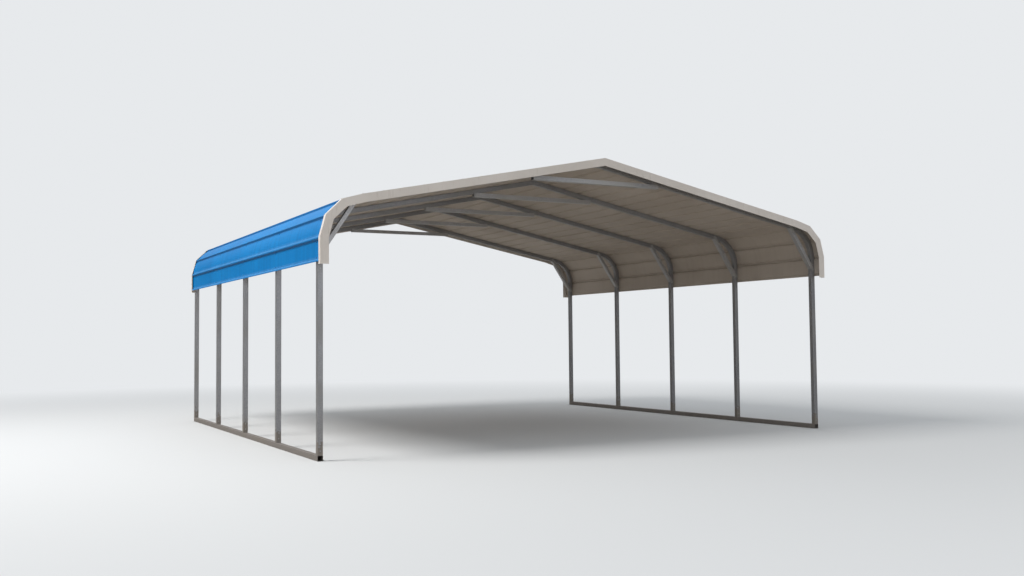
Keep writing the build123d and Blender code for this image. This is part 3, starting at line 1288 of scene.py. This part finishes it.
@dataclass
class EdgeTrims:
    """Pale trims over the sheet ends, notched and bent over the rib crests at the eave."""

    roof: RoofLine
    sheets: RibbedRoof
    finish: Material
    thickness: float = 0.0005
    face_width: float = 0.0889
    flange_width: float = 0.060
    drop: float = 0.028
    hem_width: float = 0.009
    hem_gap: float = 0.0011
    seam_width: float = 0.0012
    smooth_angle: float = 30.0

    def bends(self) -> list[Place]:
        """Find the bends of the flange's underside, from the ridge down.

        Returns:
            The bends, as girth and height.
        """
        roof, sheets = self.roof, self.sheets
        crest = roof.rib_height + sheets.thickness + roof.seat_gap
        half = roof.rib_top + sheets.thickness * math.tan(sheets.flank / 2)
        rise = half * math.tan(roof.rib_pitch / roof.pan_radius / 2)
        curve_ribs = [
            number * roof.rib_pitch
            for number in range(1, roof.side_pitches)
            if roof.slope_girth < number * roof.rib_pitch < roof.side_girth
        ]
        line = [(-crest * math.tan(roof.slope), crest)]
        line += [(curve_ribs[0] - roof.rib_pitch + half, crest)]
        line += [(girth, crest + rise) for girth in curve_ribs]
        line += [(curve_ribs[-1] + roof.rib_pitch - half, crest)]
        line += [(roof.side_pitches * roof.rib_pitch + roof.rib_top + self.drop, crest)]
        return line

    def offset(self, line: list[Place], distance: float) -> list[Place]:
        """A line of X and Z moved square to itself, upright at its first point.

        Args:
            line: The line's points.
            distance: How far it moves up and out, or down and in where negative.

        Returns:
            The moved points, with mitred corners.
        """
        points = [Vector(place) for place in line]
        runs = [(after - before).normalized() for before, after in zip(points, points[1:])]
        moved = []
        for point, before, after in zip(points[1:], runs, runs[1:] + runs[-1:]):
            both = before + after
            reach = distance / (1 + before.dot(after))
            moved.append((point.x - both.y * reach, point.y + both.x * reach))
        first = (points[0].x, points[0].y + distance / runs[0].x)
        return [first] + moved

    def carry(
        self, piece: Piece, row: float, starts: list[Place], ends: list[Place], into: float = 0.0
    ) -> None:
        """Extrude the selected row of edges and put its new points in their places.

        The new row is first set aside, so that its points can be told from the old ones.

        Args:
            piece: The trim in edit mode.
            row: Y of the selected row.
            starts: X and Z of the row's points.
            ends: X and Z of the new points.
            into: How far the new row lies inwards along Y.
        """
        aside = 1.0
        extrude((0, -aside, 0))
        for start, end in zip(starts, ends):
            pick(
                piece,
                lambda at: abs(at.y - row + aside) < NEAR and math.dist((at.x, at.z), start) < NEAR,
            )
            step = (end[0] - start[0], aside + into, end[1] - start[1])
            bpy.ops.transform.translate(value=step)
        pick(
            piece,
            lambda at: abs(at.y - row - into) < NEAR
            and any(math.dist((at.x, at.z), end) < NEAR for end in ends),
        )

    def fold(self) -> Piece:
        """Fold the front right trim: flange, face with its lap seams, and hemmed lower edge.

        Returns:
            The trim, which the other three are turned over from.
        """
        under = [self.roof.point(1, *bend) for bend in self.bends()]
        top = self.offset(under, self.thickness)
        lower = self.offset(top, -self.face_width)
        hem = self.offset(top, self.hem_width - self.face_width)
        outer_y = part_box("trim_front_right")[0].y
        piece = start_edge("trim", top[0], self.flange_width)
        fold_along(piece, top)
        with editing(piece):
            pick_all()
            bpy.ops.transform.translate(value=(0, outer_y + self.flange_width / 2, 0))
            pick(piece, lambda at: at.y < outer_y + NEAR)
            self.carry(piece, outer_y, top, lower)
            self.carry(piece, outer_y, lower, lower, self.hem_gap)
            self.carry(piece, outer_y + self.hem_gap, lower, hem)
        face_away_from(piece, Vector((0, 0, 0)))
        seams = [(*high, *low) for high, low in zip(top[2:-1], lower[2:-1])]
        with editing(piece, Element.EDGE):
            pick(piece, lambda one, two: self.is_seam(one, two, outer_y, seams), Element.EDGE)
            bpy.ops.mesh.bevel(offset=self.seam_width / 2, segments=2, affect="EDGES")
        give_wall(piece, self.thickness)
        smooth(piece, self.smooth_angle)
        return piece

    def is_seam(self, one: Vector, two: Vector, row: float, seams: list[tuple[float, ...]]) -> bool:
        """Tell whether an edge is a mitre of the face, where the cut face laps over itself.

        Args:
            one: One end of the edge.
            two: Its other end.
            row: Y of the face.
            seams: X and Z of the upper and the lower end of each mitre.

        Returns:
            Whether it is one.
        """
        if max(abs(one.y - row), abs(two.y - row)) > NEAR:
            return False
        high, low = (one, two) if one.z > two.z else (two, one)
        return any(math.dist((high.x, high.z, low.x, low.z), seam) < NEAR for seam in seams)

    def turn_over(self, piece: Piece, end: End, side: Side) -> None:
        """Mirror a copy of the front right trim to its own corner.

        Args:
            piece: The copy.
            end: The end of the carport that it goes to.
            side: Its side of the carport.
        """
        with editing(piece):
            pick_all()
            bpy.ops.transform.resize(value=(side.value, -end.value, 1), center_override=(0, 0, 0))
            if side.value == end.value:
                bpy.ops.mesh.flip_normals()

    def build(self) -> None:
        """Fold one trim and turn its copies over to the four corners."""
        model = self.fold()
        for end in End:
            for side in Side:
                corner = f"{end.name.lower()}_{side.name.lower()}"
                piece = copy_to(model, f"{corner}_trim", (0, 0, 0))
                self.turn_over(piece, end, side)
                dress(piece, [self.finish], [f"trim_{corner}"])
        bpy.data.objects.remove(model)


class Head(Enum):
    """The kinds of screw on the carport."""

    ROOF = "roof"
    TRIM = "trim"
    FRAME = "frame"


@dataclass
class Screws:
    """Hexagon screws with their flanges and sealing washers."""

    roof: RoofLine
    sheets: RibbedRoof
    trims: EdgeTrims
    braces: Braces
    bows: list[float]
    finishes: dict[Head, Material]
    rubber: Material
    head_radius: float = 0.0046
    head_height: float = 0.0042
    head_chamfer: float = 0.0007
    flange_radius: float = 0.0056
    flange_height: float = 0.0010
    flange_taper: float = 0.9
    washer_radius: float = 0.0070
    washer_height: float = 0.0018
    washer_taper: float = 0.86
    smooth_angle: float = 25.0
    head_turn: float = 0.7
    beside_rib: float = 0.037
    trim_inset: float = 0.030
    foot_heights: Pair = (0.045, 0.110)
    sleeve_heights: tuple[float, ...] = (-0.110, -0.045, 0.045, 0.105)
    peak_reaches: Pair = (0.050, 0.120)
    knee_web_gap: float = 0.024
    knee_outside: float = 0.020
    knee_inside: float = 0.012
    peak_brace_seat: Place = (0.846, 0.043)
    models: dict[Head, Piece] = field(init=False, default_factory=dict)

    def disc(self, name: str, sides: int, radius: float, low: float, high: float) -> Piece:
        """Add a disc or prism that stands on Z.

        Args:
            name: Its name.
            sides: Number of its sides.
            radius: Its radius.
            low: Height of its lower end.
            high: Height of its upper end.

        Returns:
            The new object.
        """
        bpy.ops.object.select_all(action="DESELECT")
        bpy.ops.mesh.primitive_cylinder_add(
            vertices=sides, radius=radius, depth=high - low, location=(0, 0, (low + high) / 2)
        )
        piece = bpy.context.active_object
        piece.name = name
        settle(piece)
        return piece

    def taper(self, disc: Piece, above: float, share: float) -> None:
        """Draw in the upper end of a disc.

        Args:
            disc: The disc.
            above: A height below that end.
            share: What is left of its radius.
        """
        with editing(disc):
            pick(disc, lambda at: at.z > above)
            bpy.ops.transform.resize(value=(share, share, 1), center_override=(0, 0, 0))

    def model(self, head: Head) -> Piece:
        """Model one screw at the origin, once for each kind.

        Args:
            head: The kind of screw.

        Returns:
            The screw that the others are copied from.
        """
        if head in self.models:
            return self.models[head]
        sealed = head is not Head.FRAME
        seat = self.washer_height if sealed else 0.0
        top = seat + self.flange_height + self.head_height
        hexagon = self.disc(f"{head.value}_screw", 6, self.head_radius, seat + self.flange_height / 2, top)
        with editing(hexagon):
            pick(hexagon, lambda at: at.z > top - NEAR)
            bpy.ops.mesh.bevel(offset=self.head_chamfer, segments=1, affect="EDGES")
        flange = self.disc("flange", 12, self.flange_radius, seat, seat + self.flange_height)
        self.taper(flange, seat + self.flange_height / 2, self.flange_taper)
        parts = [hexagon, flange]
        if sealed:
            washer = self.disc("washer", 12, self.washer_radius, 0.0, self.washer_height)
            self.taper(washer, self.washer_height / 2, self.washer_taper)
            parts.append(washer)
        for part in parts:
            part.data.materials.append(self.finishes[head])
            part.data.materials.append(self.rubber)
        if sealed:
            for face in washer.data.polygons:
                face.material_index = 1
        self.models[head] = join(f"{head.value}_screw", parts)
        return self.models[head]

    def drive(self, name: str, head: Head, seats: Sequence[Seat]) -> None:
        """Copy a screw to each of its seats and join them into one piece.

        Args:
            name: The piece's name.
            head: The kind of screw.
            seats: Place and outward direction of each screw.
        """
        model = self.model(head)
        copies = []
        for number, (place, outward) in enumerate(seats):
            copy = bpy.data.objects.new(f"{name}_{number}", model.data.copy())
            bpy.context.scene.collection.objects.link(copy)
            spin = Matrix.Rotation(number * self.head_turn, 4, "Z")
            turn = outward.to_track_quat("Z", "Y").to_matrix().to_4x4()
            copy.matrix_world = Matrix.Translation(place) @ turn @ spin
            copies.append(copy)
        piece = join(name, copies)
        settle(piece)
        bpy.ops.object.shade_smooth_by_angle(angle=math.radians(self.smooth_angle))
        dress(piece, [self.finishes[head], self.rubber])

    def roof_seats(self, side: Side) -> list[Seat]:
        """Find the seats of the screws through one side's pans into the bows.

        Args:
            side: The side of the roof.

        Returns:
            Place and outward direction of each screw.
        """
        roof = self.roof
        girths = [number * roof.rib_pitch + self.beside_rib for number in range(roof.side_pitches)]
        girths += [number * roof.rib_pitch - self.beside_rib for number in self.sheets.laps]
        seats = []
        for bow_y in self.bows:
            for girth in girths:
                x, z = roof.point(side.value, girth, self.sheets.thickness)
                seats.append((Vector((x, bow_y, z)), roof.outward(side.value, girth)))
        return seats

    def trim_seats(self, end: End, side: Side) -> list[Seat]:
        """Find the seats of the screws through one trim's flange into the rib crests.

        Args:
            end: The trim's end of the carport.
            side: Its side of the roof.

        Returns:
            Place and outward direction of each screw.
        """
        roof = self.roof
        y = end.value * (self.sheets.half_length - self.trim_inset)
        flange_top = roof.rib_height + self.sheets.thickness + roof.seat_gap + self.trims.thickness
        seats = []
        for number in range(1, round(roof.side_girth / roof.rib_pitch)):
            girth = number * roof.rib_pitch
            x, z = roof.point(side.value, girth, flange_top)
            seats.append((Vector((x, y, z)), roof.outward(side.value, girth)))
        return seats

    def seats_at_bows(self, side: Side, places: Sequence[Place], half_width: float) -> list[Seat]:
        """Put screws in the front and rear faces of what stands at each bow.

        Args:
            side: The side of the carport.
            places: X and Z of the screws, as they are on the right side.
            half_width: How far those faces lie from the middle of the bow.

        Returns:
            Place and outward direction of each screw.
        """
        return [
            (Vector((side.value * x, bow_y + facing * half_width, z)), Vector((0, facing, 0)))
            for bow_y in self.bows
            for facing in (-1, 1)
            for x, z in places
        ]

    def joint_seats(self, side: Side) -> list[Seat]:
        """Find the seats of the screws at one side's feet, bow sleeves and peak sleeves.

        Args:
            side: The side of the carport.

        Returns:
            Place and outward direction of each screw.
        """
        roof = self.roof
        heights = [roof.tube + height for height in self.foot_heights]
        heights += [roof.joint_height + height for height in self.sleeve_heights]
        places = [(roof.leg_x, height) for height in heights]
        places += [
            (reach * math.cos(roof.slope), roof.peak_height - reach * math.sin(roof.slope))
            for reach in self.peak_reaches
        ]
        return self.seats_at_bows(side, places, roof.tube / 2)

    def brace_seats(self, side: Side) -> list[Seat]:
        """Find the seats of the screws through the flanges of one side's braces.

        Args:
            side: The side of the carport.

        Returns:
            Place and outward direction of each screw.
        """
        foot, head = self.braces.knee_ends()
        length = (head - foot).length
        along = (head - foot).normalized()
        from_web = Vector((along.y, -along.x)) * self.knee_web_gap
        reaches = [-self.knee_outside, self.knee_inside]
        reaches += [length - self.knee_inside, length + self.knee_outside]
        places = [foot + along * reach + from_web for reach in reaches]
        peak_x, above_web = self.peak_brace_seat
        places.append((peak_x, self.roof.underside_peak - self.braces.peak_drop + above_web))
        return self.seats_at_bows(side, places, self.braces.width / 2)

    def build(self) -> None:
        """Drive all screws, in one piece for each group."""
        for side in Side:
            label = side.name.lower()
            self.drive(f"{label}_roof_screws", Head.ROOF, self.roof_seats(side))
            self.drive(f"{label}_joint_screws", Head.FRAME, self.joint_seats(side))
            self.drive(f"{label}_brace_screws", Head.FRAME, self.brace_seats(side))
            for end in End:
                name = f"{end.name.lower()}_{label}_trim_screws"
                self.drive(name, Head.TRIM, self.trim_seats(end, side))
        for model in self.models.values():
            bpy.data.objects.remove(model)


# Studio


@dataclass(frozen=True)
class Lamp:
    """A soft rectangular lamp that points at the carport."""

    name: str
    place: Triple
    width: float
    height: float
    power: float
    colour: Colour = (1.0, 1.0, 1.0)

    def build(self, target: Vector) -> None:
        """Hang the lamp and point it.

        Args:
            target: The place that it points at.
        """
        data = bpy.data.lights.new(self.name, "AREA")
        data.shape = "RECTANGLE"
        data.size, data.size_y = self.width, self.height
        data.energy, data.color = self.power, self.colour
        lamp = bpy.data.objects.new(self.name, data)
        lamp.location = self.place
        lamp.rotation_euler = (target - lamp.location).to_track_quat("-Z", "Y").to_euler()
        bpy.context.scene.collection.objects.link(lamp)


@dataclass
class Studio:
    """Pale floor and background, soft lamps, and the camera at the photo's viewing angle."""

    background: Colour = (0.80, 0.82, 0.84)
    floor_pale: Colour = (0.62, 0.63, 0.64)
    floor_bounce: Colour = (0.54, 0.50, 0.45)
    floor_mirrored: Colour = (0.30, 0.29, 0.27)
    floor_size: float = 400.0
    fade_start: float = 5.5
    fade_end: float = 17.0
    ambient: float = 0.65
    ambient_colour: Colour = (0.95, 0.98, 1.0)
    horizon_shade: float = 0.04
    shade_start: float = 0.05
    shade_top: float = 0.50
    camera_place: Triple = (-6.4836, -12.9573, 1.1883)
    yaw: float = math.radians(28.298)
    pitch: float = math.radians(2.884)
    roll: float = math.radians(-0.537)
    focal_pixels: float = 1024.31
    image_width: float = 1024.0
    sensor: float = 36.0
    lamp_target: Triple = (0.0, 0.0, 1.6)
    lamps: tuple[Lamp, ...] = (
        Lamp("key_lamp", (-11.0, -1.0, 12.5), 6.0, 6.0, 2000.0, (1.0, 0.98, 0.95)),
        Lamp("fill_lamp", (-11.0, -14.0, 4.0), 7.0, 4.0, 45.0, (0.95, 0.97, 1.0)),
        Lamp("front_lamp", (2.0, -17.5, 2.6), 9.0, 3.0, 190.0, (0.95, 0.97, 1.0)),
        Lamp("rear_lamp", (9.0, 11.0, 9.0), 7.0, 5.0, 300.0),
    )

    def camera(self) -> None:
        """Place the camera as it was fitted to the photo."""
        forward = Vector(
            (
                math.sin(self.yaw) * math.cos(self.pitch),
                math.cos(self.yaw) * math.cos(self.pitch),
                math.sin(self.pitch),
            )
        )
        level = Vector((math.cos(self.yaw), -math.sin(self.yaw), 0.0))
        upright = level.cross(forward)
        right = level * math.cos(self.roll) + upright * math.sin(self.roll)
        up = upright * math.cos(self.roll) - level * math.sin(self.roll)
        data = bpy.data.cameras.new("photo_camera")
        data.sensor_width = self.sensor
        data.lens = self.focal_pixels / self.image_width * self.sensor
        data.clip_end = self.floor_size
        camera = bpy.data.objects.new("photo_camera", data)
        turn = Matrix((right, up, -forward)).transposed().to_4x4()
        camera.matrix_world = Matrix.Translation(self.camera_place) @ turn
        bpy.context.scene.collection.objects.link(camera)
        bpy.context.scene.camera = camera

    def seen_rays(self, nodes: Nodes) -> tuple[Socket, Socket]:
        """Tell the rays that show the background from those that only light the object.

        Args:
            nodes: The nodes of the floor or the world.

        Returns:
            A value of 1 for the camera's own rays, and one of 1 for mirrored rays.
        """
        path = nodes.add("LightPath", {})
        mirrored = nodes.sum("MAXIMUM", path.outputs["Is Glossy Ray"], path.outputs["Is Transmission Ray"])
        return path.outputs["Is Camera Ray"], mirrored

    def floor(self) -> None:
        """Lay the floor, which fades into the background and keeps the shadow."""
        bpy.ops.object.select_all(action="DESELECT")
        bpy.ops.mesh.primitive_plane_add(size=self.floor_size)
        floor = bpy.context.active_object
        floor.name = "studio_floor"
        nodes = Nodes(bpy.data.materials.new("studio_floor"))
        direct, mirrored = self.seen_rays(nodes)
        distance = nodes.add("VectorMath", {0: nodes.place()}, operation="LENGTH").outputs["Value"]
        far = nodes.ramp(distance, (self.fade_start, self.fade_end), (0.0, 1.0))
        hidden = nodes.mix(mirrored, self.floor_bounce, self.floor_mirrored)
        ground = nodes.add("BsdfDiffuse", {"Color": nodes.mix(direct, hidden, self.floor_pale)})
        glow = nodes.add("Emission", {"Color": opaque(self.background), "Strength": 1.0})
        share = nodes.sum("MULTIPLY", far, direct)
        blend = nodes.add("MixShader", {0: share, 1: ground.outputs[0], 2: glow.outputs[0]})
        nodes.add("OutputMaterial", {"Surface": blend.outputs[0]})
        floor.data.materials.append(nodes.holder)

    def world(self) -> None:
        """Give the world its soft light, and a pale background that mirrors see shaded low down."""
        bpy.context.scene.world = bpy.data.worlds.new("studio_world")
        nodes = Nodes(bpy.context.scene.world)
        direct, mirrored = self.seen_rays(nodes)
        height = nodes.part(nodes.place(), "Z")
        shade = nodes.ramp(height, (self.shade_start, self.shade_top), (self.horizon_shade, 1.0))
        strength = nodes.sum("MAXIMUM", direct, shade)
        shown = nodes.add("Background", {"Color": opaque(self.background), "Strength": strength})
        ambient = nodes.add("Background", {"Color": opaque(self.ambient_colour), "Strength": self.ambient})
        seen = nodes.sum("MAXIMUM", direct, mirrored)
        blend = nodes.add("MixShader", {0: seen, 1: ambient.outputs[0], 2: shown.outputs[0]})
        nodes.add("OutputWorld", {"Surface": blend.outputs[0]})

    def build(self) -> None:
        """Set up the floor, the world, the lamps, the camera and the view."""
        self.camera()
        self.floor()
        self.world()
        for lamp in self.lamps:
            lamp.build(Vector(self.lamp_target))
        bpy.context.scene.view_settings.view_transform = "Standard"


# Finishes of this carport


def lit_brace_zinc() -> Galvanized:
    """The zinc of the braces, a lighter copy of the frame's zinc that paints in the light falling on them.
    """
    return Galvanized(
        name="lit_galvanized_steel",
        light=(0.50, 0.505, 0.53),
        dark=(0.355, 0.36, 0.375),
        dull=(0.42, 0.415, 0.41),
    )


def blue_paint(roof: RoofLine) -> SheetPaint:
    """The blue paint on the outside of the sheets."""
    return SheetPaint(
        name="blue_roof_paint",
        colour=(0.001, 0.172, 0.475),
        faded=(0.003, 0.195, 0.515),
        # Pale dust above each rib, also a painted highlight along it
        dust_and_highlight=(0.16, 0.29, 0.42),
        # Grime colour, also painted shade in a band below each rib
        grime_and_shade=(0.001, 0.062, 0.20),
        roughness=0.40,
        shine=0.2,
        sheen=(0.15, 0.6, 1.0),
        pitch=roof.rib_pitch,
        rib_base=roof.rib_base,
    )


def primer(roof: RoofLine) -> SheetPaint:
    """The warm grey primer on the underside of the sheets."""
    return SheetPaint(
        name="underside_primer",
        colour=(0.43, 0.385, 0.345),
        faded=(0.38, 0.335, 0.295),
        dust_and_highlight=(0.20, 0.18, 0.155),
        grime_and_shade=(0.17, 0.14, 0.115),
        roughness=0.48,
        shine=0.4,
        sheen=(1.0, 0.97, 0.93),
        pitch=roof.rib_pitch,
        rib_base=roof.rib_base,
        # On the underside the dust above the ribs is darker than the primer, and no shade is painted below
        # the ribs
        dust_highlight_share=0.12,
        grime_share=0.12,
        rib_shade_share=0.0,
    )


def head_finishes() -> dict[Head, SmallPartFinish]:
    """The finish of each kind of screw head."""
    return {
        Head.ROOF: SmallPartFinish("blue_screw_paint", (0.004, 0.16, 0.45), (0.03, 0.20, 0.44), 0.0, 0.35),
        Head.TRIM: SmallPartFinish("pale_screw_paint", (0.65, 0.61, 0.58), (0.49, 0.46, 0.43), 0.0, 0.38),
        Head.FRAME: SmallPartFinish("zinc_screw", (0.48, 0.49, 0.50), (0.30, 0.30, 0.31), 1.0, 0.32),
    }


def main() -> None:
    """Build the studio and every sub-assembly of the carport, in order."""
    logging.basicConfig(level=logging.INFO, format="%(message)s")
    roof = read_roof_line()
    bows = bow_places()
    zinc = Galvanized().build()
    rubber = SmallPartFinish("washer_rubber", (0.02, 0.02, 0.02), (0.05, 0.05, 0.048), 0.0, 0.6)
    Studio().build()
    TubeFrame(roof, bows, zinc).build()
    # The braces get a lit copy of the zinc: painted light on them
    braces = Braces(roof, bows, lit_brace_zinc().build())
    braces.build()
    HiddenSleeves(zinc).build()
    sheets = RibbedRoof(roof, blue_paint(roof).build(), primer(roof).build())
    sheets.build()
    trims = EdgeTrims(roof, sheets, TrimPaint().build())
    trims.build()
    heads = {head: finish.build() for head, finish in head_finishes().items()}
    Screws(roof, sheets, trims, braces, bows, heads, rubber.build()).build()


if __name__ == "__main__":
    main()
